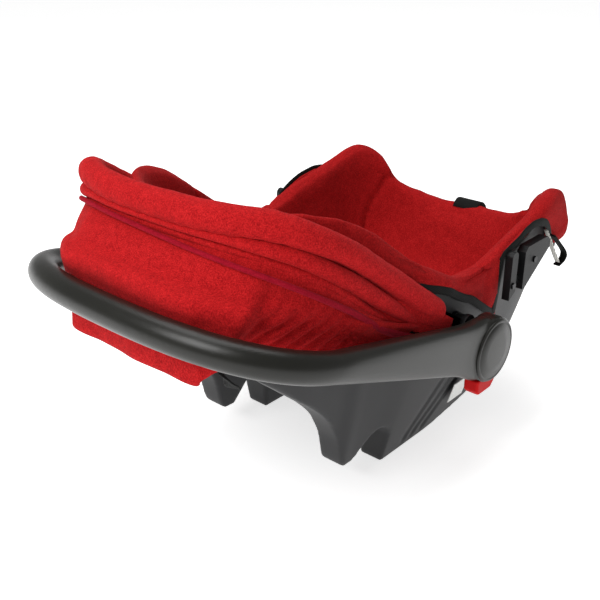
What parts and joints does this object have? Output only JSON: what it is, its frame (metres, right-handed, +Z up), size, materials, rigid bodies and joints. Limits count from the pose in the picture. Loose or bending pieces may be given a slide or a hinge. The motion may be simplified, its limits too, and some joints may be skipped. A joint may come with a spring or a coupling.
{
  "type": "infant car seat",
  "caption": "Rear-facing infant car seat: bucket shell with notched skirts, padded cover, harness, folding canopy and a fold-back carry handle.",
  "frame": {"origin": "middle of the footprint, on the floor", "axes": "+X towards the foot end, +Y towards the child's left, +Z up"},
  "size_m": [0.6929, 0.4302, 0.3896],
  "materials": {
    "shell_plastic": "fine-textured moulded polypropylene",
    "handle_plastic": "satin moulded plastic with a faint metallic sheen",
    "black_plastic": "black moulded plastic",
    "red_plastic": "red moulded plastic",
    "steel": "plated steel",
    "foam": "expanded foam",
    "seat_fabric": "dark red melange weave",
    "canopy_fabric": "bright red melange weave",
    "pad_fabric": "dark red melange weave, quilted",
    "webbing": "black woven webbing",
    "label": "blank paper label"
  },
  "bodies": {
    "seat": {"shell": "shell_plastic", "pivot_boss_left": "shell_plastic", "pivot_boss_right": "shell_plastic", "pivot_pin_left": "steel", "pivot_pin_right": "steel", "lock_gear_left": "steel", "lock_gear_right": "steel", "belt_guide_left": "black_plastic", "belt_guide_right": "black_plastic", "belt_guide_screws": "steel", "foam_liner": "foam", "seat_cover": "seat_fabric", "harness_strap_left": "webbing", "harness_strap_right": "webbing", "shoulder_pad_left": "pad_fabric", "shoulder_pad_right": "pad_fabric", "crotch_strap": "webbing", "crotch_pad": "pad_fabric", "buckle_body": "black_plastic", "buckle_tongue_left": "steel", "buckle_tongue_right": "steel", "adjuster_housing": "black_plastic", "adjuster_pin": "steel", "adjuster_strap": "webbing", "label_plate": "label", "canopy_boss_left": "black_plastic", "canopy_boss_right": "black_plastic", "canopy_knob_left": "black_plastic", "canopy_knob_right": "black_plastic", "canopy_back": "canopy_fabric", "canopy_tie": "webbing", "cover_tie": "webbing"},
    "handle": {"handle_upper_shell": "handle_plastic", "handle_lower_shell": "handle_plastic", "handle_hub_left": "handle_plastic", "handle_hub_right": "handle_plastic", "hub_cap_left": "handle_plastic", "hub_cap_right": "handle_plastic", "release_spring_left": "steel", "release_spring_right": "steel"},
    "release_left": {"release_button_left": "red_plastic"},
    "release_right": {"release_button_right": "red_plastic"},
    "canopy_rear": {"hoop_rear": "black_plastic", "hoop_rear_eyes": "black_plastic", "canopy_rear_fold": "canopy_fabric"},
    "canopy_mid": {"hoop_mid": "black_plastic", "hoop_mid_eyes": "black_plastic", "canopy_mid_fold": "canopy_fabric"},
    "canopy_front": {"hoop_front": "black_plastic", "hoop_front_eyes": "black_plastic", "canopy_front_roll": "canopy_fabric"},
    "buckle_button": {"buckle_button": "red_plastic"},
    "adjuster_lever": {"adjuster_lever": "black_plastic"}
  },
  "joints": [
    {"name": "handle_hinge", "type": "hinge", "parent": "seat", "child": "handle", "pos_m": [0.0609, 0, 0.158], "axis": [0, 1, 0], "range_deg": [0, 72.25]},
    {"name": "release_left_press", "type": "slide", "parent": "handle", "child": "release_left", "axis": [0, 0, 1], "range_m": [0, 0.005], "stiffness_N_per_m": 600, "deforming": ["release_spring_left"]},
    {"name": "release_right_press", "type": "slide", "parent": "handle", "child": "release_right", "axis": [0, 0, 1], "range_m": [0, 0.005], "stiffness_N_per_m": 600, "deforming": ["release_spring_right"]},
    {"name": "canopy_rear_hinge", "type": "hinge", "parent": "seat", "child": "canopy_rear", "pos_m": [0.0409, 0, 0.19], "axis": [0, 1, 0], "range_deg": [0, 18]},
    {"name": "canopy_mid_hinge", "type": "hinge", "parent": "canopy_rear", "child": "canopy_mid", "pos_m": [0.0409, 0, 0.19], "axis": [0, 1, 0], "range_deg": [0, 18]},
    {"name": "canopy_front_hinge", "type": "hinge", "parent": "canopy_mid", "child": "canopy_front", "pos_m": [0.0409, 0, 0.19], "axis": [0, 1, 0], "range_deg": [0, 18]},
    {"name": "buckle_press", "type": "slide", "parent": "seat", "child": "buckle_button", "axis": [0, 0, -1], "range_m": [0, 0.003], "stiffness_N_per_m": 500},
    {"name": "adjuster_lift", "type": "hinge", "parent": "seat", "child": "adjuster_lever", "pos_m": [0.18558, 0, 0.11792], "axis": [0, -1, 0], "range_deg": [0, 30], "stiffness_Nm_per_rad": 0.2}
  ],
  "couplings": [
    {"joint": "canopy_mid_hinge", "follows": "canopy_rear_hinge", "ratio": 1},
    {"joint": "canopy_front_hinge", "follows": "canopy_rear_hinge", "ratio": 1}
  ]
}
